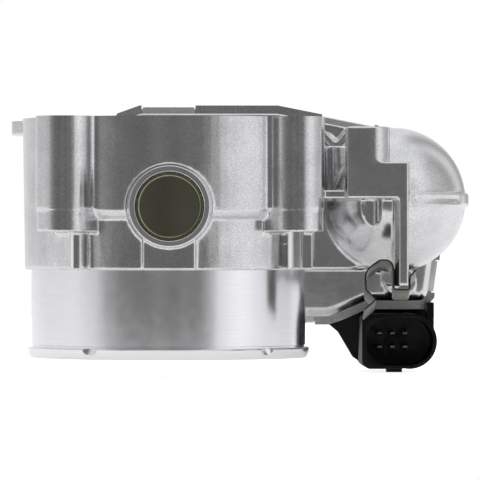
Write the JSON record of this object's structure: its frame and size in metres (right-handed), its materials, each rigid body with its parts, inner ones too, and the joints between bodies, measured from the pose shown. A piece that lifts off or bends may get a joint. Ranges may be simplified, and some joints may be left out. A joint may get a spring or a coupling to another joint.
{
  "type": "throttle body",
  "caption": "Electronic throttle body: die-cast bore with a hose spigot, butterfly plate, gear case, motor and moulded cover with a plug connector.",
  "frame": {"origin": "centre of the engine-side flange face, on the air bore's axis", "axes": "+Z along the air bore, out of the flange face; +X towards the motor; +Y towards the gear cover, along the throttle shaft"},
  "size_m": [0.1517, 0.1382, 0.0904],
  "materials": {
    "cast_aluminium": "die-cast, fine shot-blasted grain",
    "plug_steel": "dark polished",
    "bearing_steel": "ground",
    "spring_steel": "rolled strip",
    "plated_steel": "zinc plated",
    "core_steel": "stacked laminations",
    "seal_rubber": "matte",
    "natural_plastic": "moulded, natural colour",
    "black_plastic": "moulded, fine texture",
    "ferrite": "sintered",
    "carbon": "pressed carbon",
    "bronze": "sintered bronze",
    "brass": "satin",
    "tinned_brass": "tin plated",
    "copper": "copper",
    "board_green": "coated circuit board",
    "chip_black": "moulded chip package"
  },
  "bodies": {
    "housing": {"throttle_housing": "cast_aluminium", "end_plug": "plug_steel", "front_bearing_outer_race": "bearing_steel", "front_bearing_balls": "bearing_steel", "rear_bearing_outer_race": "bearing_steel", "rear_bearing_balls": "bearing_steel", "front_shaft_seal": "seal_rubber", "rear_shaft_seal": "seal_rubber", "return_spring": "spring_steel", "spring_bush": "natural_plastic", "closed_stop_screw": "plated_steel", "idler_pin": "bearing_steel", "motor_can": "plated_steel", "motor_magnets": "ferrite", "motor_end_cap": "black_plastic", "motor_brushes": "carbon", "motor_bushes": "bronze", "motor_screws": "plated_steel", "motor_terminals": "brass", "motor_wave_spring": "spring_steel", "gear_cover": "black_plastic", "cover_gasket": "seal_rubber", "cover_clips": "spring_steel", "connector_pins": "tinned_brass", "sensor_board": "board_green", "sensor_chip": "chip_black", "motor_contacts": "brass", "harness_clip": "spring_steel"},
    "throttle": {"throttle_shaft": "plated_steel", "throttle_plate": "brass", "plate_screws": "plated_steel", "sector_gear": "natural_plastic", "sector_insert": "plated_steel", "sensor_magnet": "ferrite", "front_bearing_inner_race": "bearing_steel", "rear_bearing_inner_race": "bearing_steel"},
    "idler": {"idler_gear": "natural_plastic"},
    "armature": {"armature_shaft": "bearing_steel", "armature_core": "core_steel", "armature_windings": "copper", "commutator": "copper", "motor_pinion": "bearing_steel"}
  },
  "joints": [
    {"name": "armature_turn", "type": "hinge", "parent": "housing", "child": "armature", "pos_m": [0.0741, 0, -0.0265], "axis": [0, 1, 0], "range_deg": [-84, 1106]},
    {"name": "idler_turn", "type": "hinge", "parent": "housing", "child": "idler", "pos_m": [0.03748, 0, -0.03016], "axis": [0, 1, 0], "range_deg": [-234, 18.5]},
    {"name": "throttle_turn", "type": "hinge", "parent": "housing", "child": "throttle", "pos_m": [0, 0, -0.029], "axis": [0, 1, 0], "range_deg": [-6.02, 79.02], "stiffness_Nm_per_rad": 0.25, "deforming": ["return_spring"]}
  ],
  "couplings": [
    {"joint": "idler_turn", "follows": "armature_turn", "ratio": -0.21053},
    {"joint": "throttle_turn", "follows": "armature_turn", "ratio": 0.071429}
  ]
}
